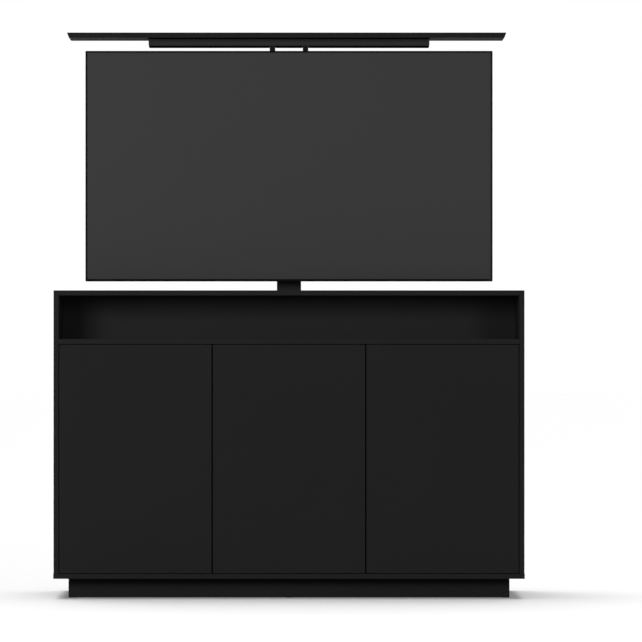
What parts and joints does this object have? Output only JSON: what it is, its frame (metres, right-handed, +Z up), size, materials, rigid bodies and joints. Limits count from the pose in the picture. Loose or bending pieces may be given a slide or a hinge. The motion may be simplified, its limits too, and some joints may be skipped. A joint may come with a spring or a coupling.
{
  "type": "tv lift cabinet",
  "caption": "Low black media cabinet with flush push-open doors, an open niche and a powered column that raises a flat television and its lid out of a slot in the top.",
  "frame": {"origin": "on the floor, under the middle of the cabinet", "axes": "+X to the right seen from the front, the doors face -Y, +Z up; the lift stands fully raised"},
  "size_m": [1.502, 0.457, 1.824],
  "materials": {
    "black_board": "matt black laminate",
    "black_steel": "matt black powder coat",
    "bright_steel": "zinc plated",
    "nylon": "natural nylon",
    "black_plastic": "fine textured",
    "tv_frame": "black anodised",
    "tv_panel": "anti-glare screen, switched off",
    "rubber": "matt",
    "bronze": "turned bronze",
    "felt": "felt",
    "beech": "plain beech"
  },
  "bodies": {
    "cabinet": {"top_panel": "black_board", "left_side_panel": "black_board", "right_side_panel": "black_board", "bottom_panel": "black_board", "niche_shelf": "black_board", "niche_back": "black_board", "compartment_back": "black_board", "dividers": "black_board", "rear_panel": "black_board", "rear_battens": "black_board", "rear_screws": "bright_steel", "side_dowels": "beech", "plinth_front": "black_board", "plinth_rear": "black_board", "plinth_sides": "black_board", "plinth_braces": "black_board", "floor_glides": "felt", "loose_shelves": "black_board", "shelf_pins": "bright_steel", "cable_grommets": "black_plastic", "door_pivots": "black_steel", "latch_bodies": "black_plastic", "lift_base": "black_steel", "lift_bolts": "bright_steel", "gear_motor": "black_plastic", "control_box": "black_plastic", "column_bracket": "black_steel", "outer_column": "black_steel", "outer_glides": "nylon"},
    "middle_stage": {"middle_column": "black_steel", "middle_glides": "nylon", "drive_nut": "bronze", "drive_belt": "rubber", "pulley_brackets": "black_steel"},
    "tv_carriage": {"inner_column": "black_steel", "inner_glides": "nylon", "hanger_bracket": "black_steel", "mount_plate": "black_steel", "mount_bolts": "bright_steel", "mount_rails": "black_steel", "rail_bolts": "bright_steel", "tv_bezel": "tv_frame", "tv_screen": "tv_panel", "tv_back_cover": "black_plastic", "lid_posts": "black_steel", "lid_batten": "black_board", "lid_panel": "black_board", "lid_screws": "bright_steel"},
    "drive_screw": {"lead_screw": "bright_steel"},
    "upper_belt_wheel": {"upper_pulley": "nylon"},
    "lower_belt_wheel": {"lower_pulley": "nylon"},
    "left_door_leaf": {"left_door": "black_board", "left_door_bushes": "nylon"},
    "left_latch": {"left_latch_plunger": "rubber"},
    "centre_door_leaf": {"centre_door": "black_board", "centre_door_bushes": "nylon"},
    "centre_latch": {"centre_latch_plunger": "rubber"},
    "right_door_leaf": {"right_door": "black_board", "right_door_bushes": "nylon"},
    "right_latch": {"right_latch_plunger": "rubber"}
  },
  "joints": [
    {"name": "tv_lift", "type": "slide", "parent": "cabinet", "child": "tv_carriage", "axis": [0, 0, 1], "range_m": [-0.841, 0]},
    {"name": "middle_slide", "type": "slide", "parent": "cabinet", "child": "middle_stage", "axis": [0, 0, 1], "range_m": [-0.4205, 0]},
    {"name": "screw_spin", "type": "hinge", "parent": "cabinet", "child": "drive_screw", "pos_m": [0, 0.138, 0.3], "axis": [0, 0, 1], "range_deg": [0, 9462.2]},
    {"name": "upper_pulley_spin", "type": "hinge", "parent": "middle_stage", "child": "upper_belt_wheel", "pos_m": [0, 0.16075, 1.1225], "axis": [1, 0, 0], "range_deg": [0, 3950.7]},
    {"name": "lower_pulley_spin", "type": "hinge", "parent": "middle_stage", "child": "lower_belt_wheel", "pos_m": [0, 0.16075, 0.5755], "axis": [1, 0, 0], "range_deg": [0, 3950.7]},
    {"name": "left_door_hinge", "type": "hinge", "parent": "cabinet", "child": "left_door_leaf", "pos_m": [-0.712, -0.2205, 0.446], "axis": [0, 0, -1], "range_deg": [0, 105]},
    {"name": "centre_door_hinge", "type": "hinge", "parent": "cabinet", "child": "centre_door_leaf", "pos_m": [-0.22267, -0.2205, 0.446], "axis": [0, 0, -1], "range_deg": [0, 105]},
    {"name": "right_door_hinge", "type": "hinge", "parent": "cabinet", "child": "right_door_leaf", "pos_m": [0.712, -0.2205, 0.446], "axis": [0, 0, 1], "range_deg": [0, 105]},
    {"name": "left_latch_push", "type": "slide", "parent": "cabinet", "child": "left_latch", "axis": [0, 1, 0], "range_m": [0, 0.004], "stiffness_N_per_m": 500},
    {"name": "centre_latch_push", "type": "slide", "parent": "cabinet", "child": "centre_latch", "axis": [0, 1, 0], "range_m": [0, 0.004], "stiffness_N_per_m": 500},
    {"name": "right_latch_push", "type": "slide", "parent": "cabinet", "child": "right_latch", "axis": [0, 1, 0], "range_m": [0, 0.004], "stiffness_N_per_m": 500}
  ],
  "couplings": [
    {"joint": "middle_slide", "follows": "tv_lift", "ratio": 0.5},
    {"joint": "screw_spin", "follows": "tv_lift", "rad_per_m": -196.35},
    {"joint": "upper_pulley_spin", "follows": "tv_lift", "rad_per_m": -81.967},
    {"joint": "lower_pulley_spin", "follows": "tv_lift", "rad_per_m": -81.967}
  ]
}
